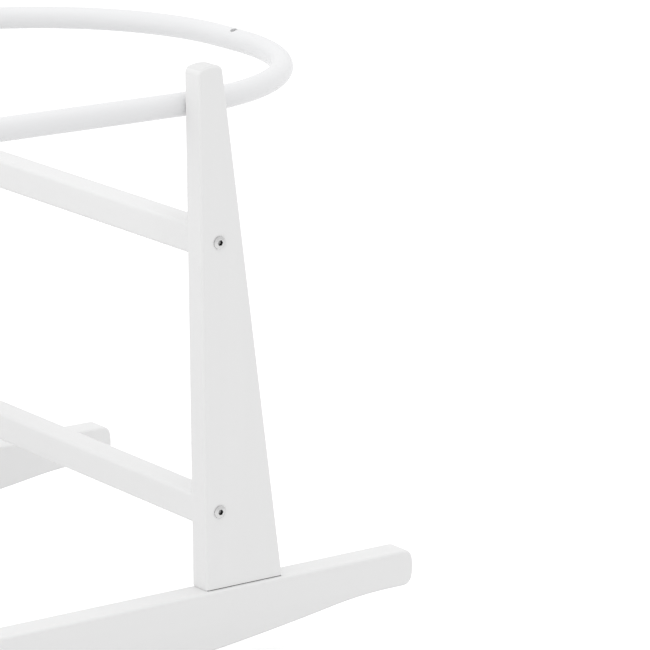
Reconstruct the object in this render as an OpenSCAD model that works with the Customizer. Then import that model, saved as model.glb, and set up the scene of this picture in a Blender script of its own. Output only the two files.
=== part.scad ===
// Rocking stand for a wicker baby basket. Two curved wooden rockers carry four
// tapered posts, two rails join the posts at each end, and an oval hoop of steel
// tube runs round the inside of the posts to hold the basket.
// +X runs along the rockers, +Y from the front rocker to the rear one, +Z is up.
// The origin is on the floor, under the middle of the stand.

/* [Rockers] */
// Length of each rocker
rocker_length = 800; // [700:1:900]
// Thickness of a rocker across the stand
rocker_thickness = 21; // [19:0.5:30]
// Depth of a rocker at its middle, from the flat top to the floor
rocker_depth = 55; // [50:0.5:70]
// Depth of the straight tail at each end of a rocker
rocker_tail_depth = 26.5; // [22:0.5:30]
// Length of the straight tail at each end of a rocker
rocker_tail_length = 22; // [20:1:60]
// Radius of the hollow curve that leads from the long curve into a tail
rocker_hollow_radius = 320; // [200:10:400]
// Radius of the bulge that closes each tail
rocker_end_radius = 34; // [28:1:60]
// Radius of the two corners at the end of each tail
rocker_corner = 7.5; // [4.5:0.5:8]

/* [Posts] */
// Height of a post, from the rocker to its crown
post_height = 370.5; // [340:0.5:420]
// Thickness of a post across the stand
post_thickness = 18; // [18:0.5:28]
// Width of a post at its foot
post_foot_width = 64.5; // [56:0.5:80]
// Width that a post tapers to at its crown
post_top_width = 19.4; // [17:0.1:30]
// How far the inner edge of a post leans towards the middle over its height
post_lean = 5.5; // [0:0.5:8]
// Clear length along a rocker between the feet of its two posts
post_span = 445; // [400:1:520]
// Radius of the crown arc on top of a post
post_crown_radius = 30; // [20:1:40]
// Radius of the shoulders where the crown turns into the edges
post_shoulder = 5; // [4.5:0.5:6]
// Radius that softens the long edges of rockers and posts
edge_radius = 2; // [1:0.25:2]

/* [Rails] */
// Width of a rail along the stand
rail_width = 21; // [18:0.5:26]
// Height of a rail
rail_height = 21.5; // [19:0.5:30]
// Radius that softens the long edges of a rail
rail_edge_radius = 3; // [1:0.5:5]
// Height of the lower rail's axis above the rockers
lower_rail_height = 56; // [48:1:90]
// Depth of the upper rail's axis below the axis of the hoop
upper_rail_drop = 93; // [60:1:120]
// Distance of the rails' axis from the inner edge of a post's foot
rail_inset = 11; // [9:0.5:16]

/* [Hoop] */
// Outer length of the hoop
hoop_length = 784; // [740:1:860]
// Outer width of the hoop
hoop_width = 371; // [352:1:410]
// Radius of the hoop's corners along the tube's axis
hoop_corner_radius = 164; // [120:1:167]
// Diameter of the hoop's tube
hoop_tube = 16.5; // [14:0.5:19]
// Wall of the hoop's tube
hoop_wall = 1.2; // [1:0.1:2]
// Gap between the straight sides of the hoop and the posts
hoop_gap = 0.6; // [0.4:0.1:2]
// Depth of the hoop's axis below the crown of the posts
hoop_drop = 30; // [24:1:40]
// Diameter of the hole in each end of the hoop that it hangs from while it is coated
hang_hole = 5.5; // [3:0.5:6]
// Distance of the hanging hole from the middle of the hoop's end
hang_hole_offset = 9; // [0:1:40]
// Tilt of the hanging hole from the top of the tube towards the inside
hang_hole_tilt = 18; // [0:1:60]

/* [Bolts and barrel nuts] */
// Thread diameter of the rail bolts and foot bolts
bolt_thread = 6; // [5:1:6]
// Head diameter of a rail bolt
rail_bolt_head = 9.2; // [8.5:0.1:12]
// Height of a rail bolt's domed head
rail_bolt_head_height = 1.6; // [1.2:0.1:3.5]
// Height of the straight rim of a rail bolt's head
rail_bolt_rim = 0.6; // [0.3:0.1:1.2]
// Width across flats of the socket in a rail bolt
rail_bolt_socket = 3.5; // [3:0.5:5]
// Depth of the socket in a rail bolt
rail_bolt_socket_depth = 1.8; // [1.5:0.1:2.4]
// Depth of a barrel nut's axis in the end of a rail
rail_nut_depth = 33; // [25:1:45]
// Head diameter of a foot bolt
foot_bolt_head = 10; // [9:0.5:11]
// Head height of a foot bolt
foot_bolt_head_height = 6; // [5:0.5:7]
// Width across flats of the socket in a foot bolt
foot_bolt_socket = 5; // [4:0.5:6]
// Depth of the socket in a foot bolt
foot_bolt_socket_depth = 3; // [2:0.5:4]
// Wood between the top of a rocker and the head of a foot bolt
foot_bolt_grip = 27; // [20:1:29]
// Height of a barrel nut's axis in the foot of a post
foot_nut_height = 30; // [26:1:34]
// Length of bolt that shows past a barrel nut
bolt_overrun = 2; // [1:0.5:4]
// Diameter of a barrel nut
barrel_nut = 10; // [9:0.5:11]
// Length of a barrel nut
barrel_nut_length = 14; // [12:0.5:15]
// Width of the screwdriver slot in a barrel nut
barrel_slot = 1.2; // [0.8:0.1:2]
// Depth of the screwdriver slot in a barrel nut
barrel_slot_depth = 1.5; // [1:0.1:2]

/* [Foot dowels] */
// Diameter of a foot dowel
dowel = 8; // [6:0.5:9]
// Length of a foot dowel
dowel_length = 30; // [24:1:34]
// Chamfer on the ends of a foot dowel
dowel_chamfer = 1; // [0.5:0.1:1.5]
// Distance of a foot dowel from the foot bolt
dowel_offset = 20; // [16:0.5:22]

/* [Hoop screws] */
// Thread diameter of the hoop screws
hoop_screw = 5; // [4:0.5:5]
// Head diameter of a hoop screw
hoop_screw_head = 9; // [8:0.5:10]
// Head height of a hoop screw
hoop_screw_head_height = 2.5; // [2:0.1:3]
// Height of the straight rim of a hoop screw's head
hoop_screw_rim = 0.8; // [0.5:0.1:1.2]
// Width across flats of the socket in a hoop screw
hoop_screw_socket = 3; // [2:0.5:4]
// Depth of the socket in a hoop screw
hoop_screw_socket_depth = 1.6; // [1:0.1:2]
// Diameter of the saddle washers on both sides of the tube at a hoop screw
saddle = 12; // [11:0.5:14]
// Outer diameter of the threaded insert in a post
insert = 8; // [7:0.5:9]
// Length of the threaded insert in a post
insert_length = 12; // [8:0.5:13]
// Distance from the bottom of an insert to the end of its screw
insert_reserve = 2; // [1:0.5:4]

/* [Clearances] */
// Gap round a bolt or screw in its hole
bolt_clearance = 0.4; // [0.2:0.1:0.8]
// Gap round a thread in its nut or insert
thread_clearance = 0.05; // [0.02:0.01:0.1]
// Gap round a dowel, barrel nut or insert in its hole
socket_clearance = 0.1; // [0.05:0.05:0.3]
// Gap between a saddle washer and the hoop's tube
saddle_clearance = 0.1; // [0.05:0.05:0.3]
// Gap at the blind end of a hole
end_clearance = 0.5; // [0.2:0.1:1]

/* [Hidden] */

$fn = 64;
fine_fn = 360;      // fragments of a full turn on curves with a large radius
edge_steps = 4;     // facets across a softened edge
corner_steps = 7;   // facets along a small corner
bulge_steps = 6;    // facets along the bulge of a tail and the crown of a post
hollow_steps = 8;   // facets along a hollow curve
rocking_steps = 32; // facets along each half of the long rocking curve
over = 1;           // overshoot of cutting shapes past the face that they open

painted = [0.93, 0.93, 0.92];
coated = [0.95, 0.96, 0.97];
plated = [0.78, 0.78, 0.79];
zinc = [0.66, 0.67, 0.69];
beech = [0.84, 0.70, 0.50];
nylon = [0.90, 0.90, 0.88];

left = -1;
right = 1;
front = -1;
rear = 1;

// Rocker: where the tails start, and the long curve that leads into both hollow ones
tail_bottom = rocker_depth - rocker_tail_depth;
tail_middle = rocker_depth - rocker_tail_depth / 2;
tail_x = rocker_length / 2 - rocker_tail_length;
rocker_radius = (pow(tail_x, 2) + pow(tail_bottom, 2)) / (2 * tail_bottom) - rocker_hollow_radius;
rocker_sweep = asin(tail_x / (rocker_radius + rocker_hollow_radius));

// Post: both edges as straight lines from the foot to the crown
post_x = post_span / 2;
post_out_lean = post_foot_width - post_top_width + post_lean;
crown_centre = [post_middle(post_height - post_crown_radius), post_height - post_crown_radius];
inner_tilt = atan2(post_lean, post_height);
outer_tilt = atan2(post_out_lean, post_height);

// Heights above the floor and places along the stand
hoop_z = rocker_depth + post_height - hoop_drop;
lower_rail_z = rocker_depth + lower_rail_height;
upper_rail_z = hoop_z - upper_rail_drop;
rail_x = post_x + rail_inset;
foot_bolt_x = post_x + post_foot_width / 2;
hoop_screw_x = post_x + post_middle(post_height - hoop_drop);

// Hoop: the tube's axis, half the length of its straight stretches, and where the
// screws cross it
hoop_half_length = (hoop_length - hoop_tube) / 2;
hoop_half_width = (hoop_width - hoop_tube) / 2;
straight_x = hoop_half_length - hoop_corner_radius;
straight_y = hoop_half_width - hoop_corner_radius;
hoop_bore = hoop_tube - 2 * hoop_wall;
hoop_screw_y = straight_y
    + sqrt(pow(hoop_corner_radius, 2) - pow(max(hoop_screw_x - straight_x, 0), 2));

// Inner face of the posts and rockers, and the middle of each one's thickness
inner_face = hoop_half_width + hoop_tube / 2 + hoop_gap;
post_y = inner_face + post_thickness / 2;
rocker_y = inner_face + rocker_thickness / 2;

// Distance that a hoop screw spans across the tube and its two saddle washers
saddle_span = 2 * (inner_face - hoop_screw_y);

rail_bolt_length = post_thickness + rail_nut_depth + barrel_nut / 2 + bolt_overrun;
foot_bolt_length = foot_bolt_grip + foot_nut_height + barrel_nut / 2 + bolt_overrun;
hoop_screw_length = saddle_span + insert_length - insert_reserve;

// Middle of a post, from the inner edge of its foot, at a height above the rocker
function post_middle(z) =
    post_foot_width / 2 - (post_out_lean + post_lean) / 2 * z / post_height;

// Centre of a shoulder: the circle that touches the edge line through start, in the
// direction dir with the wood on the side of inward, and the crown from inside
function shoulder_centre(start, dir, inward) =
    let (near = start + post_shoulder * inward,
         offset = near - crown_centre,
         along = offset * dir,
         reach = post_crown_radius - post_shoulder)
    near + dir * (-along + sqrt(pow(along, 2) - offset * offset + pow(reach, 2)));

function angle_to(from, to) = atan2(to[1] - from[1], to[0] - from[0]);

// Section of a bar with four softened edges
module bar_section(width, height, radius) {
    square([width - 2 * radius, height], center = true);
    square([width, height - 2 * radius], center = true);
    for (x = [-1, 1], y = [-1, 1])
        translate([x * (width / 2 - radius), y * (height / 2 - radius)]) circle(radius);
}

// Outlines run anticlockwise in the X-Z plane, as points that each hold their place and
// the direction that faces out of the wood there. This one follows an arc round a centre,
// and a turn of 180 degrees in out puts the wood outside the arc.
function arc(centre, radius, from, to, steps, out = 0) = [
    for (step = [0 : steps])
        let (angle = from + (to - from) * step / steps)
        [centre + radius * [cos(angle), sin(angle)], angle + out]
];

// An outline and its mirror image, where the first point lies on the middle line
function mirrored(half) = concat(half, [
    for (i = [len(half) - 1 : -1 : 1])
        [[-half[i][0][0], half[i][0][1]], 180 - half[i][1]]
]);

function without_first(points) = [for (i = [1 : len(points) - 1]) points[i]];

// Plate with a given outline and thickness, centred on Y = 0, whose edges are all softened.
// The panels split its flat faces into convex polygons, as places in the outline.
module soft_plate(outline, panels, thickness) {
    count = len(outline);
    quarter = [
        for (step = [0 : edge_steps])
            let (angle = 90 * step / edge_steps)
            [thickness / 2 - edge_radius * (1 - cos(angle)), edge_radius * (1 - sin(angle))]
    ];
    rings = concat(
        [for (level = quarter) [-level[0], level[1]]],
        [for (i = [edge_steps : -1 : 0]) quarter[i]]
    );
    polyhedron(
        [
            for (ring = rings, spot = outline)
                let (place = spot[0] - ring[1] * [cos(spot[1]), sin(spot[1])])
                [place[0], ring[0], place[1]]
        ],
        concat(
            [for (panel = panels) [for (i = [len(panel) - 1 : -1 : 0]) panel[i]]],
            [for (panel = panels) [for (i = panel) (len(rings) - 1) * count + i]],
            [
                for (ring = [0 : len(rings) - 2], i = [0 : count - 1])
                    let (next = (i + 1) % count, base = ring * count)
                    [base + i, base + next, base + count + next, base + count + i]
            ]
        )
    );
}

// Domed socket-head screw along +Z: the head is below Z = 0 and the thread above it
module domed_screw(thread, length, head, head_height, rim, socket, socket_depth) {
    dome = head_height - rim;
    dome_radius = (pow(head / 2, 2) + pow(dome, 2)) / (2 * dome);
    difference() {
        union() {
            cylinder(d = thread, h = length);
            intersection() {
                translate([0, 0, dome_radius - head_height]) sphere(dome_radius, $fn = fine_fn);
                translate([0, 0, -head_height]) cylinder(d = head, h = head_height);
            }
        }
        translate([0, 0, -head_height - over])
            cylinder(d = socket / cos(30), h = socket_depth + over, $fn = 6);
    }
}

// Straight-sided socket-head screw along +Z: the head is below Z = 0
module cap_screw(thread, length, head, head_height, socket, socket_depth)
    difference() {
        union() {
            cylinder(d = thread, h = length);
            translate([0, 0, -head_height]) cylinder(d = head, h = head_height);
        }
        translate([0, 0, -head_height - over])
            cylinder(d = socket / cos(30), h = socket_depth + over, $fn = 6);
    }

// Barrel nut along Z with its slotted end at the bottom and its thread along X
module barrel_nut_body()
    difference() {
        cylinder(d = barrel_nut, h = barrel_nut_length, center = true);
        rotate([0, 90, 0])
            cylinder(d = bolt_thread + 2 * thread_clearance, h = barrel_nut + 2 * over, center = true);
        translate([0, 0, -barrel_nut_length / 2])
            cube([barrel_nut + 2 * over, barrel_slot, 2 * barrel_slot_depth], center = true);
    }

// Half of a rocker's outline, from the middle of its long curve to the top of its tail
function rocker_half() =
    let (corner_z = rocker_tail_depth / 2 - rocker_corner,
         bulge_x = rocker_length / 2 - rocker_end_radius,
         corner_reach = sqrt(pow(rocker_end_radius - rocker_corner, 2) - pow(corner_z, 2)),
         corner_x = bulge_x + corner_reach,
         turn = atan2(corner_z, corner_reach))
    concat(
        arc([0, rocker_radius], rocker_radius, 270, 270 + rocker_sweep, rocking_steps),
        without_first(arc([tail_x, tail_bottom - rocker_hollow_radius], rocker_hollow_radius,
            90 + rocker_sweep, 90, hollow_steps, 180)),
        arc([corner_x, tail_middle - corner_z], rocker_corner, -90, -turn, corner_steps),
        without_first(arc([bulge_x, tail_middle], rocker_end_radius, -turn, turn, bulge_steps)),
        without_first(arc([corner_x, tail_middle + corner_z], rocker_corner, turn, 90, corner_steps))
    );

// Flat faces of a rocker: one panel over the long curve, and a fan from each top corner
// over the hollow curve and the tail
function rocker_panels() =
    let (corner = len(rocker_half()) - 1,
         count = 2 * corner + 1,
         knee = rocking_steps)
    concat(
        [[
            for (i = [0 : count - 1])
                if (i <= knee || i >= count - knee || i == corner || i == corner + 1) i
        ]],
        [for (i = [knee : corner - 2]) [corner, i, i + 1]],
        [for (i = [knee : corner - 2]) [corner + 1, count - i - 1, count - i]]
    );

// Rocker on one side of the stand, with its holes for the feet of the posts
module rocker(side)
    color(painted) translate([0, side * rocker_y, 0])
        difference() {
            soft_plate(mirrored(rocker_half()), rocker_panels(), rocker_thickness);
            translate([0, side * (post_y - rocker_y), 0])
                for (end = [left, right]) {
                    translate([end * foot_bolt_x, 0, -over]) {
                        cylinder(d = bolt_thread + 2 * bolt_clearance, h = rocker_depth + 2 * over);
                        cylinder(d = foot_bolt_head + 2 * bolt_clearance,
                            h = rocker_depth - foot_bolt_grip + over);
                    }
                    for (step = [-1, 1])
                        translate([end * foot_bolt_x + step * dowel_offset, 0,
                            rocker_depth - dowel_length / 2 - end_clearance])
                            cylinder(d = dowel + 2 * socket_clearance, h = dowel_length);
                }
        }

// Outline of a post, with the inner corner of its foot at the origin. It runs on below
// the foot, where the post is cut off flat.
function post_outline() =
    let (inner_dir = [-sin(inner_tilt), cos(inner_tilt)],
         outer_dir = [-sin(outer_tilt), cos(outer_tilt)],
         inner_normal = [cos(inner_tilt), sin(inner_tilt)],
         outer_normal = [-cos(outer_tilt), -sin(outer_tilt)],
         foot = [post_foot_width, 0],
         inner_centre = shoulder_centre([0, 0], inner_dir, inner_normal),
         outer_centre = shoulder_centre(foot, outer_dir, outer_normal),
         inner_turn = angle_to(crown_centre, inner_centre),
         outer_turn = angle_to(crown_centre, outer_centre))
    concat(
        [
            [-post_foot_width / 4 * inner_dir, 180 + inner_tilt],
            [foot - post_foot_width / 4 * outer_dir, outer_tilt]
        ],
        arc(outer_centre, post_shoulder, outer_tilt, outer_turn, corner_steps),
        without_first(arc(crown_centre, post_crown_radius, outer_turn, inner_turn, bulge_steps)),
        without_first(arc(inner_centre, post_shoulder, inner_turn, 180 + inner_tilt, corner_steps))
    );

module post_blank()
    intersection() {
        soft_plate(post_outline(), [[for (i = [0 : len(post_outline()) - 1]) i]],
            post_thickness);
        translate([-post_foot_width, -post_thickness, 0])
            cube([3 * post_foot_width, 2 * post_thickness, 2 * post_height]);
    }

// Post at one end and side of the stand
module post(end, side)
    color(painted) mirror([end == left ? 1 : 0, 0, 0]) mirror([0, side == front ? 1 : 0, 0])
        difference() {
            translate([post_x, post_y, rocker_depth]) post_blank();
            for (z = [lower_rail_z, upper_rail_z])
                translate([rail_x, inner_face - over, z]) rotate([-90, 0, 0])
                    cylinder(d = bolt_thread + 2 * bolt_clearance, h = post_thickness + 2 * over);
            translate([hoop_screw_x, inner_face - over, hoop_z]) rotate([-90, 0, 0])
                cylinder(d = insert + 2 * socket_clearance,
                    h = insert_length + end_clearance + over);
            translate([foot_bolt_x, post_y, rocker_depth - over])
                cylinder(d = bolt_thread + 2 * bolt_clearance,
                    h = foot_bolt_length - foot_bolt_grip + end_clearance + over);
            translate([foot_bolt_x, inner_face - over, rocker_depth + foot_nut_height])
                rotate([-90, 0, 0])
                    cylinder(d = barrel_nut + 2 * socket_clearance,
                        h = (post_thickness + barrel_nut_length) / 2 + end_clearance + over);
            for (step = [-1, 1])
                translate([foot_bolt_x + step * dowel_offset, post_y,
                    rocker_depth + dowel_length / 2 + end_clearance - dowel_length])
                    cylinder(d = dowel + 2 * socket_clearance, h = dowel_length);
        }

// Rail between the front and rear posts at one end, with its axis at height z
module rail(end, z)
    color(painted) translate([end * rail_x, 0, z])
        difference() {
            rotate([90, 0, 0])
                linear_extrude(2 * inner_face, center = true)
                    bar_section(rail_width, rail_height, rail_edge_radius);
            for (side = [front, rear]) {
                translate([0, side * inner_face, 0]) rotate([side * 90, 0, 0])
                    translate([0, 0, -over])
                        cylinder(d = bolt_thread + 2 * bolt_clearance,
                            h = rail_bolt_length - post_thickness + end_clearance + over);
                translate([0, side * (inner_face - rail_nut_depth), -rail_height / 2 - over])
                    cylinder(d = barrel_nut + 2 * socket_clearance,
                        h = (rail_height + barrel_nut_length) / 2 + end_clearance + over);
            }
        }

// Solid oval of a round bar along the hoop's axis
module oval(diameter) {
    for (side = [-1, 1]) {
        translate([0, side * hoop_half_width, 0]) rotate([0, 90, 0])
            cylinder(d = diameter, h = 2 * straight_x, center = true);
        translate([side * hoop_half_length, 0, 0]) rotate([90, 0, 0])
            cylinder(d = diameter, h = 2 * straight_y, center = true);
    }
    for (corner = [0 : 3])
        translate([
            (corner == 0 || corner == 3 ? 1 : -1) * straight_x,
            (corner < 2 ? 1 : -1) * straight_y,
            0
        ])
            rotate([0, 0, 90 * corner])
                rotate_extrude(angle = 90, $fn = fine_fn)
                    translate([hoop_corner_radius, 0]) circle(d = diameter, $fn = 64);
}

module hoop()
    color(coated) translate([0, 0, hoop_z])
        difference() {
            oval(hoop_tube);
            oval(hoop_bore);
            for (x = [left, right], y = [front, rear])
                translate([x * hoop_screw_x, y * hoop_screw_y, 0]) rotate([90, 0, 0])
                    cylinder(d = hoop_screw + 2 * bolt_clearance, h = hoop_tube + 2 * over,
                        center = true);
            for (side = [0, 1])
                mirror([side, 0, 0])
                    translate([hoop_half_length, -hang_hole_offset, 0])
                        rotate([0, -hang_hole_tilt, 0])
                            cylinder(d = hang_hole, h = hoop_tube);
        }

// Pair of bolts, one from each side of the stand, into the ends of one rail
module rail_bolts(end, z)
    color(plated)
        for (side = [front, rear])
            translate([end * rail_x, side * (inner_face + post_thickness), z])
                rotate([side * 90, 0, 0])
                    domed_screw(bolt_thread, rail_bolt_length, rail_bolt_head,
                        rail_bolt_head_height, rail_bolt_rim, rail_bolt_socket,
                        rail_bolt_socket_depth);

// Pair of barrel nuts in the ends of one rail, slots downwards
module rail_nuts(end, z)
    color(zinc)
        for (side = [front, rear])
            translate([end * rail_x, side * (inner_face - rail_nut_depth), z])
                rotate([0, 0, 90]) barrel_nut_body();

// Bolts up through one rocker into the feet of its posts
module foot_bolts(side)
    color(zinc)
        for (end = [left, right])
            translate([end * foot_bolt_x, side * post_y, rocker_depth - foot_bolt_grip])
                cap_screw(bolt_thread, foot_bolt_length, foot_bolt_head,
                    foot_bolt_head_height, foot_bolt_socket, foot_bolt_socket_depth);

// Barrel nuts in the feet of the posts on one side, slots inwards
module foot_nuts(side)
    color(zinc)
        for (end = [left, right])
            translate([end * foot_bolt_x, side * post_y, rocker_depth + foot_nut_height])
                rotate([side * -90, 0, 0]) rotate([0, 0, 90]) barrel_nut_body();

// Dowels between one rocker and the feet of its posts
module foot_dowels(side)
    color(beech)
        for (end = [left, right], step = [-1, 1])
            translate([end * foot_bolt_x + step * dowel_offset, side * post_y, rocker_depth])
                rotate_extrude()
                    polygon([
                        [0, -dowel_length / 2],
                        [dowel / 2 - dowel_chamfer, -dowel_length / 2],
                        [dowel / 2, dowel_chamfer - dowel_length / 2],
                        [dowel / 2, dowel_length / 2 - dowel_chamfer],
                        [dowel / 2 - dowel_chamfer, dowel_length / 2],
                        [0, dowel_length / 2]
                    ]);

// Screws through the hoop from its inside into the posts on one side
module hoop_screws(side)
    color(plated)
        for (end = [left, right])
            translate([end * hoop_screw_x, side * (inner_face - saddle_span), hoop_z])
                rotate([side * -90, 0, 0])
                    domed_screw(hoop_screw, hoop_screw_length, hoop_screw_head,
                        hoop_screw_head_height, hoop_screw_rim, hoop_screw_socket,
                        hoop_screw_socket_depth);

// Washers hollowed to the tube, between it and the posts and under the screw heads
module saddle_washers(side)
    color(nylon) translate([0, 0, hoop_z])
        difference() {
            for (end = [left, right])
                translate([end * hoop_screw_x, side * inner_face, 0]) rotate([side * 90, 0, 0])
                    cylinder(d = saddle, h = saddle_span);
            oval(hoop_tube + 2 * saddle_clearance);
            for (end = [left, right])
                translate([end * hoop_screw_x, side * hoop_screw_y, 0]) rotate([90, 0, 0])
                    cylinder(d = hoop_screw + 2 * bolt_clearance, h = saddle_span + 2 * over,
                        center = true);
        }

// Threaded inserts in the posts on one side, flush with the posts' inner faces
module hoop_inserts(side)
    color(zinc)
        for (end = [left, right])
            translate([end * hoop_screw_x, side * inner_face, hoop_z])
                rotate([side * -90, 0, 0])
                    difference() {
                        cylinder(d = insert, h = insert_length);
                        translate([0, 0, -over])
                            cylinder(d = hoop_screw + 2 * thread_clearance,
                                h = insert_length + 2 * over);
                    }

module rocker_front() rocker(front);
module rocker_rear() rocker(rear);
module post_front_left() post(left, front);
module post_front_right() post(right, front);
module post_rear_left() post(left, rear);
module post_rear_right() post(right, rear);
module upper_rail_left() rail(left, upper_rail_z);
module upper_rail_right() rail(right, upper_rail_z);
module lower_rail_left() rail(left, lower_rail_z);
module lower_rail_right() rail(right, lower_rail_z);
module upper_left_rail_bolts() rail_bolts(left, upper_rail_z);
module upper_right_rail_bolts() rail_bolts(right, upper_rail_z);
module lower_left_rail_bolts() rail_bolts(left, lower_rail_z);
module lower_right_rail_bolts() rail_bolts(right, lower_rail_z);
module upper_left_barrel_nuts() rail_nuts(left, upper_rail_z);
module upper_right_barrel_nuts() rail_nuts(right, upper_rail_z);
module lower_left_barrel_nuts() rail_nuts(left, lower_rail_z);
module lower_right_barrel_nuts() rail_nuts(right, lower_rail_z);
module front_foot_bolts() foot_bolts(front);
module rear_foot_bolts() foot_bolts(rear);
module front_foot_barrel_nuts() foot_nuts(front);
module rear_foot_barrel_nuts() foot_nuts(rear);
module front_foot_dowels() foot_dowels(front);
module rear_foot_dowels() foot_dowels(rear);
module front_hoop_screws() hoop_screws(front);
module rear_hoop_screws() hoop_screws(rear);
module front_saddle_washers() saddle_washers(front);
module rear_saddle_washers() saddle_washers(rear);
module front_hoop_inserts() hoop_inserts(front);
module rear_hoop_inserts() hoop_inserts(rear);

rocker_front();
rocker_rear();
post_front_left();
post_front_right();
post_rear_left();
post_rear_right();
upper_rail_left();
upper_rail_right();
lower_rail_left();
lower_rail_right();
hoop();
upper_left_rail_bolts();
upper_right_rail_bolts();
lower_left_rail_bolts();
lower_right_rail_bolts();
upper_left_barrel_nuts();
upper_right_barrel_nuts();
lower_left_barrel_nuts();
lower_right_barrel_nuts();
front_foot_bolts();
rear_foot_bolts();
front_foot_barrel_nuts();
rear_foot_barrel_nuts();
front_foot_dowels();
rear_foot_dowels();
front_hoop_screws();
rear_hoop_screws();
front_saddle_washers();
rear_saddle_washers();
front_hoop_inserts();
rear_hoop_inserts();
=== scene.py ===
"""Finishes, camera and studio for a rocking stand that holds a baby basket.

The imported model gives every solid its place. Timber is dressed from those solids with
eased joints and smooth paint, the hoop and the domed screws are made anew in finer
detail, and the small fittings keep their solids and get their own finishes.
"""

import math

import bmesh
import bpy
from mathutils import Matrix, Vector


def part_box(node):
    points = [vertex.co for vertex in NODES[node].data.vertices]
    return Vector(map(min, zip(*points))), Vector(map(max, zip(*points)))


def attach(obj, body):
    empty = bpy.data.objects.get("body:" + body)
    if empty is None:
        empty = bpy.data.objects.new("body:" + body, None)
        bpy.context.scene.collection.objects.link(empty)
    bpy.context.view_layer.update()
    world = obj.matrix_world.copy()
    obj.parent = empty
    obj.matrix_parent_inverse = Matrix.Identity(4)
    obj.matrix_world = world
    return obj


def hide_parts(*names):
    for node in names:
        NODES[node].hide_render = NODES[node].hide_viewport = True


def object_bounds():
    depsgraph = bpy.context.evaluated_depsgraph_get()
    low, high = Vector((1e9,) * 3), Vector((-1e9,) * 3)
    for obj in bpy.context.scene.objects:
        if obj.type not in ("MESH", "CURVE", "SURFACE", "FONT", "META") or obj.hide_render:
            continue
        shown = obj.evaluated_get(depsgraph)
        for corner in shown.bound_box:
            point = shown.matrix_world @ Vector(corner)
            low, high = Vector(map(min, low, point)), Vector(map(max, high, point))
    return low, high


bl_info = {
    "name": "Rocking Basket Stand",
    "version": (1, 0, 0),
    "blender": (4, 5, 0),
    "location": "View3D > Sidebar > Stand",
    "description": "Dresses a rocking stand for a baby basket and sets up its studio",
    "category": "Object",
}

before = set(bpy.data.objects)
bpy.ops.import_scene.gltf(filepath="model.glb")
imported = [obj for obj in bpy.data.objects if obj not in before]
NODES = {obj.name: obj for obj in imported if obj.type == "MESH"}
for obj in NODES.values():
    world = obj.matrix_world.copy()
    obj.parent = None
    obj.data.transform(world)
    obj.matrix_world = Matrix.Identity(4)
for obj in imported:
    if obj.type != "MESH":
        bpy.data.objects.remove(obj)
CAD_BOX = [list(corner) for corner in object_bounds()]
MM = 0.001

ROCKERS = ("rocker_front", "rocker_rear")
POSTS = ("post_front_left", "post_front_right", "post_rear_left", "post_rear_right")
RAILS = ("upper_rail_left", "upper_rail_right", "lower_rail_left", "lower_rail_right")
RAIL_BOLTS = (
    "upper_left_rail_bolts",
    "upper_right_rail_bolts",
    "lower_left_rail_bolts",
    "lower_right_rail_bolts",
)
HOOP_SCREWS = ("front_hoop_screws", "rear_hoop_screws")

# Scale of the grain's pattern along a piece, where it is drawn out; across it is 1
GRAIN_STRETCH = 0.035
ALONG_X = (GRAIN_STRETCH, 1, 1)
ALONG_Y = (1, GRAIN_STRETCH, 1)
ALONG_Z = (1, 1, GRAIN_STRETCH)

# Vertices closer than the gap become one, and faces that turn less become one face
WELD_GAP = 0.002 * MM
FLAT_TURN = math.radians(0.03)
# Edges that turn more than this stay sharp
SMOOTH_TURN = math.radians(32)
UP = Vector((0, 0, 1))

# Steps along each straight and each corner of the hoop, and flats of the hole cutters
STRAIGHT_STEPS = 24
CORNER_STEPS = 48
CUTTER_SIDES = 48

# Material slots of a post after its main paint, both painted shade: near black in the
# joint line at its foot, and darker on its crown
JOINT_SHADE_SLOT = 1
CROWN_SHADE_SLOT = 2
# Width of the band round a post's foot that holds its outer edges
RIM_BAND = 1 * MM
# Upward part of the normal above which a face belongs to the top of a post
CROWN_RISE = 0.7

# Flats of a screw, and the steps of its dome
SCREW_SIDES = 48
DOME_STEPS = 8
# Material slots of a screw after its plating, which hold painted shade: near black on its
# socket's walls and darker on its head's side. Then the first ring of its head's side
SOCKET_SHADE_SLOT = 1
RIM_SHADE_SLOT = 2
RIM_RING = 3
# Chamfer of a screw's tip as a share of its radius
TIP_CHAMFER = 0.2
# Fall of a socket's eased mouth as a share of its width
MOUTH_FALL = 0.6
# Radius and depth of the dimple in a socket's floor, as shares of its width
DIMPLE_RADIUS = 0.2
DIMPLE_DEPTH = 0.06

# Diameter of the thread, width and depth of the socket, side of the head under its
# dome, height of the head, eased mouth of the socket and eased edge of the head
RAIL_BOLT = {
    "thread": 6 * MM,
    "socket": 3.7 * MM,
    "depth": 2.6 * MM,
    "rim": 0.6 * MM,
    "height": 1.6 * MM,
    "mouth": 0.2 * MM,
    "ease": 0.15 * MM,
}
HOOP_SCREW = {
    "thread": 5 * MM,
    "socket": 3 * MM,
    "depth": 1.6 * MM,
    "rim": 0.8 * MM,
    "height": 2.5 * MM,
    "mouth": 0.3 * MM,
    "ease": 0.15 * MM,
}

# Finish of the fittings that keep their solids, by the ending of their names
FITTING_FINISHES = {
    "barrel_nuts": "zinc_plating",
    "foot_bolts": "zinc_plating",
    "hoop_inserts": "zinc_plating",
    "foot_dowels": "bare_beech",
    "saddle_washers": "moulded_nylon",
}

# Where the lamps point, how far the camera sees and its sensor in millimetres
STAND_MIDDLE = Vector((0, 0, 0.2))
SIGHT = 60
SENSOR_WIDTH = 36


# ---------------------------------------------------------------- settings


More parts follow.
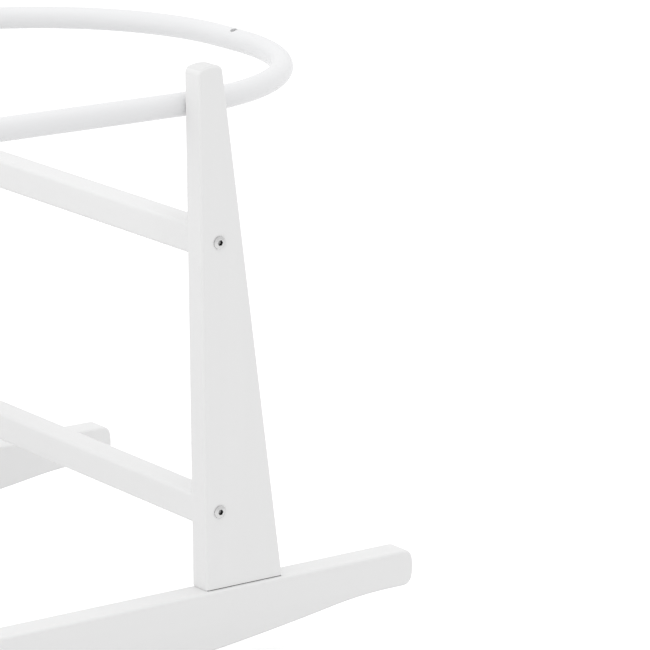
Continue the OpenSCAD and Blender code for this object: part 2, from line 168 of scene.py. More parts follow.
class StandFinish(bpy.types.PropertyGroup):
    """Colours and surface relief of the stand."""

    paint: bpy.props.FloatVectorProperty(
        name="Paint",
        description="Satin paint on the timber",
        subtype="COLOR",
        size=4,
        min=0,
        max=1,
        default=(0.80, 0.80, 0.80, 1),
    )
    coating: bpy.props.FloatVectorProperty(
        name="Coating",
        description="Powder coating on the steel hoop",
        subtype="COLOR",
        size=4,
        min=0,
        max=1,
        default=(0.784, 0.786, 0.794, 1),
    )
    steel: bpy.props.FloatVectorProperty(
        name="Steel",
        description="Plating on the domed bolts and screws",
        subtype="COLOR",
        size=4,
        min=0,
        max=1,
        default=(0.64, 0.64, 0.64, 1),
    )
    # Painted shade: a darker plating for the dark ring round the side of a screw head
    rim: bpy.props.FloatVectorProperty(
        name="Rim",
        description="Duller side of the heads of bolts and screws",
        subtype="COLOR",
        size=4,
        min=0,
        max=1,
        default=(0.47, 0.47, 0.47, 1),
    )
    zinc: bpy.props.FloatVectorProperty(
        name="Zinc",
        description="Plating on the hidden fittings",
        subtype="COLOR",
        size=4,
        min=0,
        max=1,
        default=(0.56, 0.57, 0.585, 1),
    )
    beech: bpy.props.FloatVectorProperty(
        name="Beech",
        description="Bare wood of the dowels",
        subtype="COLOR",
        size=4,
        min=0,
        max=1,
        default=(0.60, 0.40, 0.23, 1),
    )
    nylon: bpy.props.FloatVectorProperty(
        name="Nylon",
        description="Saddle washers under the hoop",
        subtype="COLOR",
        size=4,
        min=0,
        max=1,
        default=(0.74, 0.74, 0.72, 1),
    )
    grain_depth: bpy.props.FloatProperty(
        name="Grain depth",
        description="Depth of the wood grain that shows through the paint",
        default=0.035 * MM,
        min=0,
        unit="LENGTH",
    )
    # The eased faces at a post's foot carry a near-black painted shade for its joint line
    foot_ease: bpy.props.FloatProperty(
        name="Foot ease",
        description="Eased edge round the foot of a post, which makes the joint line",
        default=0.6 * MM,
        min=0.05 * MM,
        unit="LENGTH",
    )


class StandHoop(bpy.types.PropertyGroup):
    """Sizes of the hoop that its box doesn't give."""

    corner_radius: bpy.props.FloatProperty(
        name="Corner radius",
        description="Radius of the hoop's corners at the middle of the tube",
        default=164 * MM,
        min=50 * MM,
        unit="LENGTH",
    )
    wall: bpy.props.FloatProperty(
        name="Wall",
        description="Thickness of the tube's wall",
        default=1.2 * MM,
        min=0.5 * MM,
        unit="LENGTH",
    )
    hanging_hole: bpy.props.FloatProperty(
        name="Hanging hole",
        description="Diameter of the hole in each end of the hoop",
        default=5.5 * MM,
        min=2 * MM,
        unit="LENGTH",
    )
    hanging_offset: bpy.props.FloatProperty(
        name="Hole offset",
        description="Distance of a hanging hole from the hoop's middle line",
        default=9 * MM,
        min=0,
        unit="LENGTH",
    )
    hanging_tilt: bpy.props.FloatProperty(
        name="Hole tilt",
        description="Turn of a hanging hole from upright towards the middle of the hoop",
        default=math.radians(18),
        subtype="ANGLE",
    )
    screw_hole: bpy.props.FloatProperty(
        name="Screw hole",
        description="Diameter of the holes for the hoop screws",
        default=5.5 * MM,
        min=2 * MM,
        unit="LENGTH",
    )
    sides: bpy.props.IntProperty(
        name="Sides",
        description="Flats round the tube before smoothing",
        default=48,
        min=12,
    )


class StandStage(bpy.types.PropertyGroup):
    """Camera and light."""

    camera_place: bpy.props.FloatVectorProperty(
        name="Camera place",
        description="Where the camera stands",
        subtype="TRANSLATION",
        default=(-1.430888, -2.613147, 1.005561),
    )
    heading: bpy.props.FloatProperty(
        name="Heading",
        description="Direction of the view, turned from the stand's long axis",
        default=math.radians(53.948),
        subtype="ANGLE",
    )
    pitch: bpy.props.FloatProperty(
        name="Pitch",
        description="How far the view looks down",
        default=math.radians(14.566),
        subtype="ANGLE",
    )
    roll: bpy.props.FloatProperty(
        name="Roll",
        description="Turn of the camera about its view",
        default=math.radians(0.267),
        subtype="ANGLE",
    )
    lens: bpy.props.FloatProperty(
        name="Lens",
        description="Focal length in millimetres on a sensor 36 mm wide",
        default=244.86,
        min=10,
    )
    ambient: bpy.props.FloatProperty(
        name="Ambient",
        description="Strength of the room's white light",
        default=1.0,
        min=0,
    )
    overhead_power: bpy.props.FloatProperty(
        name="Overhead",
        description="Power of the softbox above the stand",
        default=8.5,
        min=0,
        unit="POWER",
    )
    window_power: bpy.props.FloatProperty(
        name="Window",
        description="Power of the softbox at the left",
        default=11,
        min=0,
        unit="POWER",
    )
    floor_size: bpy.props.FloatProperty(
        name="Floor",
        description="Side of the square floor",
        default=24,
        min=2,
        unit="LENGTH",
    )
    floor_tone: bpy.props.FloatProperty(
        name="Floor tone",
        description="Grey of the floor under the light",
        default=0.835,
        min=0,
        max=1,
    )
    floor_lift: bpy.props.FloatProperty(
        name="Floor lift",
        description="What is added to the floor where it is seen, to meet the white room",
        default=0.33,
        min=0,
        max=1,
    )


# ---------------------------------------------------------------- materials


def new_group(name, inputs, outputs):
    """An empty shader node group, its input node and its output node."""
    group = bpy.data.node_groups.new(name, "ShaderNodeTree")
    for label, kind, value in inputs:
        socket = group.interface.new_socket(label, in_out="INPUT", socket_type=kind)
        socket.default_value = value
    for label, kind in outputs:
        group.interface.new_socket(label, in_out="OUTPUT", socket_type=kind)
    start = group.nodes.new("NodeGroupInput")
    end = group.nodes.new("NodeGroupOutput")
    return group, start, end


def add_node(tree, kind, inputs=None, **settings):
    """A node with its settings. Its inputs take the output of a node, or a value."""
    node = tree.nodes.new(kind)
    for key, value in settings.items():
        setattr(node, key, value)
    for key, source in (inputs or {}).items():
        if isinstance(source, bpy.types.NodeSocket):
            tree.links.new(source, node.inputs[key])
        else:
            node.inputs[key].default_value = source
    return node


def grain_group():
    """Closed pores and slow bands of wood grain, stretched along one axis."""
    group, start, end = new_group(
        "wood_grain",
        [
            ("Stretch", "NodeSocketVector", (1, 1, 1)),
            ("Pores", "NodeSocketFloat", 900),
            ("Bands", "NodeSocketFloat", 90),
        ],
        [("Height", "NodeSocketFloat"), ("Tone", "NodeSocketFloat")],
    )
    place = add_node(group, "ShaderNodeTexCoord")
    lie = add_node(
        group,
        "ShaderNodeVectorMath",
        {0: place.outputs["Object"], 1: start.outputs["Stretch"]},
        operation="MULTIPLY",
    )
    pores = add_node(
        group,
        "ShaderNodeTexNoise",
        {"Vector": lie.outputs[0], "Scale": start.outputs["Pores"], "Detail": 3.0},
    )
    bands = add_node(
        group,
        "ShaderNodeTexNoise",
        {
            "Vector": lie.outputs[0],
            "Scale": start.outputs["Bands"],
            "Detail": 2.0,
            "Distortion": 0.4,
        },
    )
    height = add_node(
        group,
        "ShaderNodeMath",
        {0: pores.outputs[0], 1: 0.55, 2: bands.outputs[0]},
        operation="MULTIPLY_ADD",
    )
    tone = add_node(
        group,
        "ShaderNodeMapRange",
        {0: bands.outputs[0], 1: 0.3, 2: 0.7, 3: 0.0, 4: 1.0},
        interpolation_type="SMOOTHSTEP",
    )
    group.links.new(height.outputs[0], end.inputs["Height"])
    group.links.new(tone.outputs[0], end.inputs["Tone"])
    return group


def ripple_group():
    """Even ripple of a sprayed finish, with a slow drift of tone and gloss."""
    group, start, end = new_group(
        "sprayed_ripple",
        [("Ripple", "NodeSocketFloat", 500), ("Drift", "NodeSocketFloat", 12)],
        [("Height", "NodeSocketFloat"), ("Tone", "NodeSocketFloat")],
    )
    place = add_node(group, "ShaderNodeTexCoord")
    ripple = add_node(
        group,
        "ShaderNodeTexNoise",
        {
            "Vector": place.outputs["Object"],
            "Scale": start.outputs["Ripple"],
            "Detail": 1.5,
        },
    )
    drift = add_node(
        group,
        "ShaderNodeTexNoise",
        {
            "Vector": place.outputs["Object"],
            "Scale": start.outputs["Drift"],
            "Detail": 2.0,
        },
    )
    group.links.new(ripple.outputs[0], end.inputs["Height"])
    group.links.new(drift.outputs[0], end.inputs["Tone"])
    return group


def place_group(tree, name, maker, **values):
    """Puts a shared group in a material with its own values. It is made only once."""
    node = tree.nodes.new("ShaderNodeGroup")
    node.node_tree = bpy.data.node_groups.get(name) or maker()
    for key, value in values.items():
        node.inputs[key].default_value = value
    return node


def grain_in(tree, **values):
    """Wood grain in a material."""
    return place_group(tree, "wood_grain", grain_group, **values)


def ripple_in(tree, **values):
    """Ripple of a sprayed or plated finish in a material."""
    return place_group(tree, "sprayed_ripple", ripple_group, **values)


def new_material(name):
    """A material with only a Principled shader, its node tree and that shader."""
    material = bpy.data.materials.new(name)
    material.use_nodes = True
    shader = material.node_tree.nodes["Principled BSDF"]
    return material, material.node_tree, shader


def scaled(colour, factor):
    """The colour made darker or lighter, with no see-through part."""
    return (*[channel * factor for channel in colour[:3]], 1)


def tone_between(tree, source, low, high):
    """A colour that runs from low to high as the source runs from 0 to 1."""
    mix = add_node(tree, "ShaderNodeMix", data_type="RGBA")
    mix.inputs["A"].default_value = low
    mix.inputs["B"].default_value = high
    tree.links.new(source, mix.inputs["Factor"])
    return mix.outputs["Result"]


def value_between(tree, source, low, high):
    """A value from low to high over the middle range of a noise."""
    return add_node(
        tree, "ShaderNodeMapRange", {0: source, 1: 0.3, 2: 0.7, 3: low, 4: high}
    ).outputs[0]


def bump(tree, height, distance, normal=None):
    """A normal with relief of the given depth, on top of another one if there is one."""
    node = add_node(tree, "ShaderNodeBump", {"Height": height, "Distance": distance})
    if normal is not None:
        tree.links.new(normal, node.inputs["Normal"])
    return node.outputs["Normal"]


def dress(tree, shader, colour, gloss=None, surface=None):
    """Links what changes over a surface to the shader of its material."""
    sources = {"Base Color": colour, "Roughness": gloss, "Normal": surface}
    for socket, source in sources.items():
        if source is not None:
            tree.links.new(source, shader.inputs[socket])


def painted_wood(name, stretch, shade_factor=1.0):
    """Satin paint over sanded wood: the grain is only just felt through it.

    A value under 1 darkens the paint into painted shade: a little on the crown of a post,
    and near black in the joint line at a post's foot.
    """
    finish = bpy.context.scene.stand_finish
    material, tree, shader = new_material(name)
    grain = grain_in(tree, Stretch=stretch)
    spray = ripple_in(tree, Ripple=420, Drift=9)
    paint = scaled(finish.paint, shade_factor)
    colour = tone_between(
        tree, grain.outputs["Tone"], low=scaled(paint, 0.992), high=paint
    )
    gloss = value_between(tree, spray.outputs["Tone"], low=0.42, high=0.5)
    relief = bump(tree, grain.outputs["Height"], distance=finish.grain_depth)
    surface = bump(
        tree, spray.outputs["Height"], distance=0.012 * MM, normal=relief
    )
    dress(tree, shader, colour, gloss, surface)
    shader.inputs["IOR"].default_value = 1.48
    shader.inputs["Specular IOR Level"].default_value = 0.4
    return material


def powder_coating():
    """Powder coating: glossier than the paint, with a fine even ripple."""
    finish = bpy.context.scene.stand_finish
    material, tree, shader = new_material("powder_coating")
    spray = ripple_in(tree, Ripple=650, Drift=14)
    coating = finish.coating
    colour = tone_between(
        tree, spray.outputs["Tone"], low=scaled(coating, 0.985), high=coating
    )
    gloss = value_between(tree, spray.outputs["Tone"], low=0.32, high=0.4)
    surface = bump(tree, spray.outputs["Height"], distance=0.02 * MM)
    dress(tree, shader, colour, gloss, surface)
    shader.inputs["IOR"].default_value = 1.5
    shader.inputs["Specular IOR Level"].default_value = 0.35
    return material


def plated_steel(name, setting, low, high, pits):
    """Plated steel with small differences in tone, pits and a roughness of low to high.

    The setting names its colour.
    """
    plating = getattr(bpy.context.scene.stand_finish, setting)
    material, tree, shader = new_material(name)
    spray = ripple_in(tree, Ripple=2600, Drift=700)
    colour = tone_between(
        tree, spray.outputs["Tone"], low=scaled(plating, 0.8), high=plating
    )
    gloss = value_between(tree, spray.outputs["Tone"], low, high)
    surface = bump(tree, spray.outputs["Height"], distance=pits)
    dress(tree, shader, colour, gloss, surface)
    shader.inputs["Metallic"].default_value = 1
    return material


def painted_socket_shade():
    """Painted shade: near-black steel on the walls of the driving socket of a bolt, which
    look dark.
    """
    material, tree, shader = new_material("bolt_socket")
    spray = ripple_in(tree, Ripple=3000, Drift=900)
    colour = tone_between(
        tree,
        spray.outputs["Tone"],
        low=(0.002, 0.002, 0.002, 1),
        high=(0.006, 0.006, 0.006, 1),
    )
    gloss = value_between(tree, spray.outputs["Tone"], low=0.4, high=0.6)
    dress(tree, shader, colour, gloss)
    shader.inputs["Specular IOR Level"].default_value = 0.2
    return material


def bare_wood():
    """Unpainted beech with its own colour bands."""
    finish = bpy.context.scene.stand_finish
    material, tree, shader = new_material("bare_beech")
    grain = grain_in(tree, Stretch=ALONG_Z, Bands=420)
    beech = finish.beech
    colour = tone_between(
        tree, grain.outputs["Tone"], low=scaled(beech, 0.72), high=beech
    )
    surface = bump(tree, grain.outputs["Height"], distance=0.08 * MM)
    dress(tree, shader, colour, surface=surface)
    shader.inputs["Roughness"].default_value = 0.62
    return material


def moulded_nylon():
    """Slightly clear moulded plastic."""
    finish = bpy.context.scene.stand_finish
    material, tree, shader = new_material("moulded_nylon")
    spray = ripple_in(tree, Ripple=1400, Drift=160)
    nylon = finish.nylon
    colour = tone_between(
        tree, spray.outputs["Tone"], low=scaled(nylon, 0.94), high=nylon
    )
    gloss = value_between(tree, spray.outputs["Tone"], low=0.38, high=0.5)
    surface = bump(tree, spray.outputs["Height"], distance=0.01 * MM)
    dress(tree, shader, colour, gloss, surface)
    shader.inputs["Subsurface Weight"].default_value = 0.15
    shader.inputs["Subsurface Radius"].default_value = (1 * MM, 1 * MM, 1 * MM)
    return material


MATERIALS = {
    "painted_rocker": lambda: painted_wood("painted_rocker", ALONG_X),
    "painted_rail": lambda: painted_wood("painted_rail", ALONG_Y),
    "painted_post": lambda: painted_wood("painted_post", ALONG_Z),
    # Painted shade: darker paint on the crown of a post, near-black paint in the joint
    # line at its foot
    "painted_end": lambda: painted_wood("painted_end", ALONG_Z, shade_factor=0.92),
    "painted_joint": lambda: painted_wood("painted_joint", ALONG_X, shade_factor=0.12),
    "powder_coating": powder_coating,
    "bolt_plating": lambda: plated_steel(
        "bolt_plating", "steel", low=0.24, high=0.36, pits=0.006 * MM
    ),
    # Painted shade on the side of a screw head
    "bolt_rim": lambda: plated_steel(
        "bolt_rim", "rim", low=0.34, high=0.46, pits=0.01 * MM
    ),
    # Painted shade in the sockets of the screw heads
    "bolt_socket": painted_socket_shade,
    "zinc_plating": lambda: plated_steel(
        "zinc_plating", "zinc", low=0.34, high=0.5, pits=0.012 * MM
    ),
    "bare_beech": bare_wood,
    "moulded_nylon": moulded_nylon,
}


def material_named(name):
    """A finish of the stand, made when a piece first asks for it."""
    return bpy.data.materials.get(name) or MATERIALS[name]()


# ---------------------------------------------------------------- meshes


def add_object(name, data):
    """An object of the given data, in the scene."""
    added = bpy.data.objects.new(name, data)
    bpy.context.scene.collection.objects.link(added)
    return added


def mesh_from(work, name):
    """The mesh of a work mesh, which is used up."""
    mesh = bpy.data.meshes.new(name)
    work.to_mesh(mesh)
    work.free()
    return mesh


def add_piece(name, mesh, replaced, finishes):
    """Puts a finished mesh in the scene in place of the solids that it stands for."""
    piece = add_object(name, mesh)
    for finish in finishes:
        mesh.materials.append(material_named(finish))
    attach(piece, "root")
    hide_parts(*replaced)
    return piece


def smooth(mesh):
    """Smooth shading that keeps edges sharper than SMOOTH_TURN."""
    mesh.shade_smooth()
    mesh.set_sharp_from_angle(angle=SMOOTH_TURN)


def welded(node):
    """A work mesh of a solid with its faces joined and its flat faces whole."""
    work = bmesh.new()
    work.from_mesh(NODES[node].data)
    bmesh.ops.remove_doubles(work, verts=work.verts, dist=WELD_GAP)
    bmesh.ops.dissolve_limit(
        work, angle_limit=FLAT_TURN, verts=work.verts, edges=work.edges
    )
    return work


def weight_normals(piece):
    """Keeps broad faces flat where they meet softened edges."""
    weighting = piece.modifiers.new("flat_faces", "WEIGHTED_NORMAL")
    weighting.keep_sharp = True
    weighting.weight = 100


def timber(node, *finishes, foot=None):
    """Paints a piece of timber. A post has a foot, the height of its lower end."""
    work = welded(node)
    if foot is not None:
        # A post's foot and crown get painted shade
        ease_foot(work, foot)
        shade_crown(work)
    mesh = mesh_from(work, node + "_painted")
    smooth(mesh)
    piece = add_piece(node + "_painted", mesh, [node], finishes)
    weight_normals(piece)


def ease_foot(work, height):
    """Eases the outer edges of a post's foot and gives the eased faces a near-black
    painted shade, which makes the dark line of its joint.

    The painted shade runs under the front and the rear face, and the narrow sides keep the
    main paint.
    """
    bmesh.ops.bevel(
        work,
        geom=outer_rim(work, height),
        offset=bpy.context.scene.stand_finish.foot_ease,
        segments=1,
        affect="EDGES",
        clamp_overlap=False,
        material=JOINT_SHADE_SLOT,
    )
    for face in work.faces:
        if face.material_index and abs(face.normal.x) > abs(face.normal.y):
            face.material_index = 0


def shade_crown(work):
    """Gives the faces that look up at the top of a post a painted shade: a darker paint
    than its sides.
    """
    for face in work.faces:
        if face.normal.z > CROWN_RISE:
            face.material_index = CROWN_SHADE_SLOT


def outer_rim(work, height):
    """The edges round the outside of a flat face at a height, without its holes."""
    foot = [v.co for v in work.verts if abs(v.co.z - height) < WELD_GAP]
    low = [min(co[axis] for co in foot) for axis in range(2)]
    high = [max(co[axis] for co in foot) for axis in range(2)]

    def on_rim(co):
        gaps = [co[axis] - low[axis] for axis in range(2)]
        gaps += [high[axis] - co[axis] for axis in range(2)]
        return abs(co.z - height) < WELD_GAP and min(gaps) < RIM_BAND

    return [
        edge
        for edge in work.edges
        if all(on_rim(v.co) for v in edge.verts)
        and edge.calc_face_angle(0) > SMOOTH_TURN
    ]


def turns_of(sides):
    """Directions of the corners of a ring with so many sides."""
    return [math.tau * i / sides for i in range(sides)]


def tube_ring(work, place, outward, radius, sides):
    """A ring of vertices round a point of a level tube."""
    corners = []
    for turn in turns_of(sides):
        corner = place + radius * (math.cos(turn) * outward + math.sin(turn) * UP)
        corners.append(work.verts.new(corner))
    return corners


def join_rings(work, first, second):
    """Faces between two rings with the same number of vertices."""
    for i in range(len(first)):
        j = (i + 1) % len(first)
        work.faces.new((first[i], first[j], second[j], second[i]))


def oval_stations(half_length, half_width, corner):
    """Points and outward directions round an oval whose corners are quarter circles."""
    straight_x = half_length - corner
    straight_y = half_width - corner
    stations = []
    for quarter, (x, y) in enumerate([(1, 1), (-1, 1), (-1, -1), (1, -1)]):
        centre = Vector((x * straight_x, y * straight_y, 0))
        for step in range(CORNER_STEPS + 1):
            turn = math.radians(90) * (quarter + step / CORNER_STEPS)
            outward = Vector((math.cos(turn), math.sin(turn), 0))
            stations.append((centre + corner * outward, outward))
        last, outward = stations[-1]
        along = Vector((-outward.y, outward.x, 0))
        run = 2 * (straight_x if quarter % 2 == 0 else straight_y)
        for step in range(1, STRAIGHT_STEPS):
            stations.append((last + along * run * step / STRAIGHT_STEPS, outward))
    return stations


def sweep_oval(work, stations, radius, centre, sides, inward=False):
    """A closed tube round the stations; inward turns its faces to the inside."""
    rings = [
        tube_ring(work, centre + place, outward, radius, sides)
        for place, outward in stations
    ]
    for first, second in zip(rings, rings[1:] + rings[:1]):
        if inward:
            first, second = second, first
        join_rings(work, first, second)


def cutter(name, diameter, length, placing):
    """A cylinder that cuts a hole. It starts at its own origin and runs along its Z."""
    work = bmesh.new()
    bmesh.ops.create_cone(
        work,
        cap_ends=True,
        segments=CUTTER_SIDES,
        radius1=diameter / 2,
        radius2=diameter / 2,
        depth=length,
        matrix=placing @ Matrix.Translation((0, 0, length / 2)),
    )
    return add_object(name, mesh_from(work, name))


def cut(mesh, tools):
    """The mesh with the tools' shapes cut away. The tools are used up."""
    body = add_object("cut_body", mesh)
    for tool in tools:
        modifier = body.modifiers.new(tool.name, "BOOLEAN")
        modifier.operation = "DIFFERENCE"
        modifier.solver = "EXACT"
        modifier.object = tool
    graph = bpy.context.evaluated_depsgraph_get()
    result = bpy.data.meshes.new_from_object(body.evaluated_get(graph))
    result.materials.clear()
    for used in [body, *tools]:
        bpy.data.objects.remove(used)
    return result


def box_of(node):
    """Lowest and highest corner of a solid."""
    low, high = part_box(node)
    return Vector(low), Vector(high)


def hoop_mesh():
    """The hollow oval tube with its hanging holes and screw holes."""
    sizes = bpy.context.scene.stand_hoop
    low, high = box_of("hoop")
    middle = (low + high) / 2
    tube = high.z - low.z
    half_length = (high.x - low.x - tube) / 2
    half_width = (high.y - low.y - tube) / 2
    stations = oval_stations(half_length, half_width, sizes.corner_radius)
    work = bmesh.new()
    sweep_oval(work, stations, tube / 2, middle, sizes.sides)
    sweep_oval(work, stations, tube / 2 - sizes.wall, middle, sizes.sides, inward=True)
    bmesh.ops.recalc_face_normals(work, faces=work.faces)
    tools = hanging_holes(half_length, middle.z, tube) + screw_holes(middle.z)
    return cut(mesh_from(work, "hoop_tube"), tools)


def hanging_holes(half_length, level, tube):
    """Cutters from the middle of the tube out through its top, one at each end."""
    sizes = bpy.context.scene.stand_hoop
    tools = []
    for end in (-1, 1):
        start = Vector((end * half_length, -sizes.hanging_offset, level))
        lean = Matrix.Rotation(-end * sizes.hanging_tilt, 4, "Y")
        placing = Matrix.Translation(start) @ lean
        name = f"hanging_hole_{end}"
        tools.append(cutter(name, sizes.hanging_hole, tube, placing))
    return tools


def screw_holes(level):
    """Cutters through both walls of the tube, one for each hoop screw."""
    diameter = bpy.context.scene.stand_hoop.screw_hole
    lay = Matrix.Rotation(math.radians(-90), 4, "X")
    tools = []
    for node in HOOP_SCREWS:
        low, high = box_of(node)
        for end in (-1, 1):
            x = end * (high.x - head_diameter(node) / 2)
            placing = Matrix.Translation((x, low.y, level)) @ lay
            name = f"screw_hole_{node}_{end}"
            tools.append(cutter(name, diameter, high.y - low.y, placing))
    return tools


def head_diameter(node):
    """Diameter of the heads in a node of bolts or screws that lie along Y."""
    low, high = box_of(node)
    return high.z - low.z


def hex_radius(turn, flats):
    """Distance from the middle of a hexagon to its edge at a turn, by its width."""
    sixth = math.radians(60)
    return flats / 2 / math.cos((turn % sixth) - sixth / 2)


def mark_band(first, second, slot):
    """Gives the faces between two rings of vertices a material slot."""
    band = set(first) | set(second)
    for corner in first:
        for face in corner.link_faces:
            if set(face.verts) <= band:
                face.material_index = slot


def screw_rings(size, turns):
    """Rings of a domed socket screw, as the radius and the level at each turn.

    They run from the tip, over the head, down into the driving socket. The head is
    below level 0 and the thread above it.
    """
    thread = size["thread"] / 2
    head = size["head"] / 2
    socket = size["socket"]
    dome = size["height"] - size["rim"]
    dome_radius = (head**2 + dome**2) / (2 * dome)

    def dome_level(radius):
        return dome_radius - size["height"] - math.sqrt(dome_radius**2 - radius**2)

    chamfer = thread * TIP_CHAMFER
    profile = [
        (thread - chamfer, size["length"]),
        (thread, size["length"] - chamfer),
        (thread, 0),
        (head - size["ease"], 0),
        (head, -size["ease"]),
        (head, -size["rim"]),
    ]
    mouth = socket / 2 / math.cos(math.radians(30)) + size["mouth"]
    for step in range(1, DOME_STEPS + 1):
        radius = head + (mouth - head) * step / DOME_STEPS
        profile.append((radius, dome_level(radius)))
    rings = [[point] * len(turns) for point in profile]
    floor = size["depth"] - size["height"]
    for level in (dome_level(mouth) + size["mouth"] * MOUTH_FALL, floor):
        rings.append([(hex_radius(turn, socket), level) for turn in turns])
    dimple = (socket * DIMPLE_RADIUS, floor + socket * DIMPLE_DEPTH)
    rings.append([dimple] * len(turns))
    return rings


def domed_screw(work, placing, size):
    """Adds a domed socket screw to a work mesh, with its place and direction."""
    turns = turns_of(SCREW_SIDES)
    made = []
    for shape in screw_rings(size, turns):
        corners = [
            Vector((radius * math.cos(turn), radius * math.sin(turn), level))
            for (radius, level), turn in zip(shape, turns)
        ]
        made.append([work.verts.new(placing @ corner) for corner in corners])
    work.faces.new(made[0])
    for first, second in zip(made, made[1:]):
        join_rings(work, first, second)
    work.faces.new(list(reversed(made[-1])))
    # Painted shade: near black on the socket walls, darker on the head's side
    mark_band(made[-3], made[-2], SOCKET_SHADE_SLOT)
    mark_band(made[RIM_RING], made[RIM_RING + 1], RIM_SHADE_SLOT)
    mark_band(made[RIM_RING + 1], made[RIM_RING + 2], RIM_SHADE_SLOT)


def screw_pieces(node, kind, spots):
    """One mesh for the screws of a node.

    A spot is the place where a head meets its seat, the direction of the thread and
    the length under the head.
    """
    work = bmesh.new()
    for seat, direction, length in spots:
        size = dict(kind, head=head_diameter(node), length=length)
        turn = direction.to_track_quat("Z", "Y").to_matrix().to_4x4()
        domed_screw(work, Matrix.Translation(seat) @ turn, size)
    bmesh.ops.recalc_face_normals(work, faces=work.faces)
    mesh = mesh_from(work, node + "_turned")
    smooth(mesh)
    # The socket walls and the side of each head carry painted shade
    finishes = ["bolt_plating", "bolt_socket", "bolt_rim"]
    add_piece(node + "_turned", mesh, [node], finishes)


def rail_bolt_spots(node):
    """Spots of the front and the rear bolt of a rail, on the faces of the posts."""
    low, high = box_of(node)
    middle = (low + high) / 2
    face = -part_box(POSTS[0])[0][1]
    front = [v.co.y for v in NODES[node].data.vertices if v.co.y < 0]
    length = max(front) + face
    return [
        (Vector((middle.x, side * face, middle.z)), Vector((0, -side, 0)), length)
        for side in (-1, 1)
    ]


def hoop_screw_spots(node):
    """Spots of the left and the right screw on one side of the hoop."""
    low, high = box_of(node)
    middle = (low + high) / 2
    side = 1 if middle.y > 0 else -1
    inner = low.y if side > 0 else high.y
    height = HOOP_SCREW["height"]
    length = high.y - low.y - height
    x = high.x - head_diameter(node) / 2
    return [
        (
            Vector((end * x, inner + side * height, middle.z)),
            Vector((0, side, 0)),
            length,
        )
        for end in (-1, 1)
    ]


# ---------------------------------------------------------------- operators


class STAND_OT_timber(bpy.types.Operator):
    """Paint the rockers, posts and rails"""

    bl_idname = "stand.timber"
    bl_label = "Timber"

    def execute(self, context):
        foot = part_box(POSTS[0])[0][2]
        for node in ROCKERS:
            timber(node, "painted_rocker")
        for node in POSTS:
            # A post gets painted shade in its joint line and on its crown
            timber(node, "painted_post", "painted_joint", "painted_end", foot=foot)
        for node in RAILS:
            timber(node, "painted_rail")
        return {"FINISHED"}


class STAND_OT_hoop(bpy.types.Operator):
    """Sweep the hollow oval hoop and cut its holes"""

    bl_idname = "stand.hoop"
    bl_label = "Hoop"

    def execute(self, context):
        mesh = hoop_mesh()
        smooth(mesh)
        add_piece("hoop_tube", mesh, ["hoop"], ["powder_coating"])
        return {"FINISHED"}


class STAND_OT_screws(bpy.types.Operator):
    """Turn the domed bolts of the rails and the screws of the hoop"""

    bl_idname = "stand.screws"
    bl_label = "Bolts and screws"

    def execute(self, context):
        for node in RAIL_BOLTS:
            screw_pieces(node, RAIL_BOLT, rail_bolt_spots(node))
        for node in HOOP_SCREWS:
            screw_pieces(node, HOOP_SCREW, hoop_screw_spots(node))
        return {"FINISHED"}


class STAND_OT_fittings(bpy.types.Operator):
    """Finish the nuts, foot bolts, dowels, inserts and saddle washers"""

    bl_idname = "stand.fittings"
    bl_label = "Fittings"

    def execute(self, context):
        for name, solid in NODES.items():
            for ending, finish in FITTING_FINISHES.items():
                if name.endswith(ending):
                    solid.data.materials.clear()
                    solid.data.materials.append(material_named(finish))
        return {"FINISHED"}


def camera_rays(tree):
    """1 where the camera sees, also in metal and through glass, and 0 for light."""
    path = add_node(tree, "ShaderNodeLightPath")
    seen = add_node(
        tree,
        "ShaderNodeMath",
        {0: path.outputs["Is Camera Ray"], 1: path.outputs["Is Glossy Ray"]},
        operation="MAXIMUM",
    )
    return add_node(
        tree,
        "ShaderNodeMath",
        {0: seen.outputs[0], 1: path.outputs["Is Transmission Ray"]},
        operation="MAXIMUM",
    ).outputs[0]


def add_softbox(name, place, size, power):
    """A square area light that points at the middle of the stand."""
    light = bpy.data.lights.new(name, "AREA")
    light.shape = "SQUARE"
    light.size = size
    light.energy = power
    lamp = add_object(name, light)
    lamp.location = place
    lamp.rotation_mode = "QUATERNION"
    lamp.rotation_quaternion = (STAND_MIDDLE - Vector(place)).to_track_quat("-Z", "Y")


def floor_material(stage):
    """White floor that keeps soft shadows and meets the white room without an edge."""
    floor, tree, shader = new_material("studio_floor")
    shader.inputs["Base Color"].default_value = (*[stage.floor_tone] * 3, 1)
    shader.inputs["Roughness"].default_value = 0.9
    shader.inputs["Specular IOR Level"].default_value = 0.0
    shader.inputs["Emission Color"].default_value = (1, 1, 1, 1)
    lift = add_node(
        tree,
        "ShaderNodeMath",
        {0: camera_rays(tree), 1: stage.floor_lift},
        operation="MULTIPLY",
    )
    tree.links.new(lift.outputs[0], shader.inputs["Emission Strength"])
    return floor


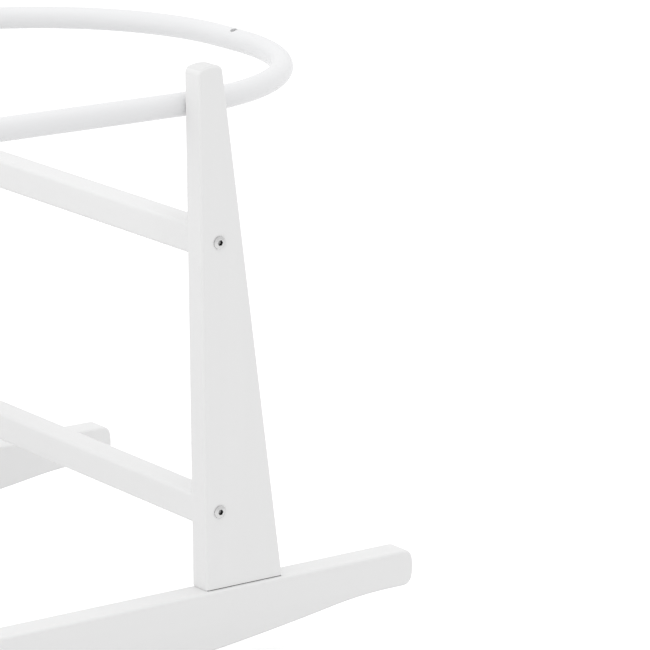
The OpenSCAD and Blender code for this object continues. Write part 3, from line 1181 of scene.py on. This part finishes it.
class STAND_OT_stage(bpy.types.Operator):
    """Set up the floor, the light and the camera"""

    bl_idname = "stand.stage"
    bl_label = "Studio"

    def execute(self, context):
        stage = context.scene.stand_stage
        self.add_floor(stage)
        self.light_room(context, stage)
        self.add_camera(context, stage)
        context.scene.view_settings.view_transform = "Standard"
        return {"FINISHED"}

    def add_floor(self, stage):
        """A square floor under the rockers."""
        work = bmesh.new()
        bmesh.ops.create_grid(
            work, x_segments=1, y_segments=1, size=stage.floor_size / 2
        )
        mesh = mesh_from(work, "studio_floor")
        mesh.materials.append(floor_material(stage))
        floor = add_object("studio_floor", mesh)
        floor.location.z = CAD_BOX[0][2]

    def light_room(self, context, stage):
        """A white room with a softbox above the stand and one at its left."""
        world = bpy.data.worlds.new("white_room")
        world.use_nodes = True
        tree = world.node_tree
        shader = tree.nodes["Background"]
        shader.inputs["Color"].default_value = (1, 1, 1, 1)
        strength = add_node(
            tree,
            "ShaderNodeMapRange",
            {0: camera_rays(tree), 1: 0.0, 2: 1.0, 3: stage.ambient, 4: 1.0},
        )
        tree.links.new(strength.outputs[0], shader.inputs["Strength"])
        context.scene.world = world
        add_softbox("overhead", (0.2, -0.1, 2.6), 2.4, stage.overhead_power)
        add_softbox("left_window", (-3.0, 0.4, 1.3), 2.0, stage.window_power)

    def add_camera(self, context, stage):
        """A long lens that looks down on the right end of the stand."""
        ahead = Vector(
            (
                math.cos(stage.heading) * math.cos(stage.pitch),
                math.sin(stage.heading) * math.cos(stage.pitch),
                -math.sin(stage.pitch),
            )
        )
        right = Vector((math.sin(stage.heading), -math.cos(stage.heading), 0))
        up = right.cross(ahead)
        level = Matrix((right, up, -ahead)).transposed().to_4x4()
        data = bpy.data.cameras.new("stand_camera")
        data.sensor_width = SENSOR_WIDTH
        data.lens = stage.lens
        data.clip_end = SIGHT
        camera = add_object("stand_camera", data)
        camera.matrix_world = (
            Matrix.Translation(stage.camera_place)
            @ level
            @ Matrix.Rotation(stage.roll, 4, "Z")
        )
        context.scene.camera = camera


class STAND_PT_panel(bpy.types.Panel):
    """Lists the steps that dress the stand"""

    bl_idname = "STAND_PT_panel"
    bl_label = "Rocking Basket Stand"
    bl_space_type = "VIEW_3D"
    bl_region_type = "UI"
    bl_category = "Stand"

    def draw(self, context):
        for operator in OPERATORS:
            self.layout.operator(operator.bl_idname)
        for settings in SETTINGS:
            group = getattr(context.scene, settings)
            for prop in group.bl_rna.properties:
                if prop.identifier not in ("rna_type", "name"):
                    self.layout.prop(group, prop.identifier)


OPERATORS = (
    STAND_OT_timber,
    STAND_OT_hoop,
    STAND_OT_screws,
    STAND_OT_fittings,
    STAND_OT_stage,
)
SETTINGS = {
    "stand_finish": StandFinish,
    "stand_hoop": StandHoop,
    "stand_stage": StandStage,
}


def register():
    """Makes the settings, the steps and the panel known to Blender."""
    for group in SETTINGS.values():
        bpy.utils.register_class(group)
    for name, group in SETTINGS.items():
        setattr(bpy.types.Scene, name, bpy.props.PointerProperty(type=group))
    for operator in OPERATORS:
        bpy.utils.register_class(operator)
    bpy.utils.register_class(STAND_PT_panel)


def unregister():
    """Takes away what register made known."""
    bpy.utils.unregister_class(STAND_PT_panel)
    for operator in reversed(OPERATORS):
        bpy.utils.unregister_class(operator)
    for name, group in SETTINGS.items():
        delattr(bpy.types.Scene, name)
        bpy.utils.unregister_class(group)


def main():
    """Runs every step in order."""
    register()
    bpy.ops.stand.timber()
    bpy.ops.stand.hoop()
    bpy.ops.stand.screws()
    bpy.ops.stand.fittings()
    bpy.ops.stand.stage()


if __name__ == "__main__":
    main()
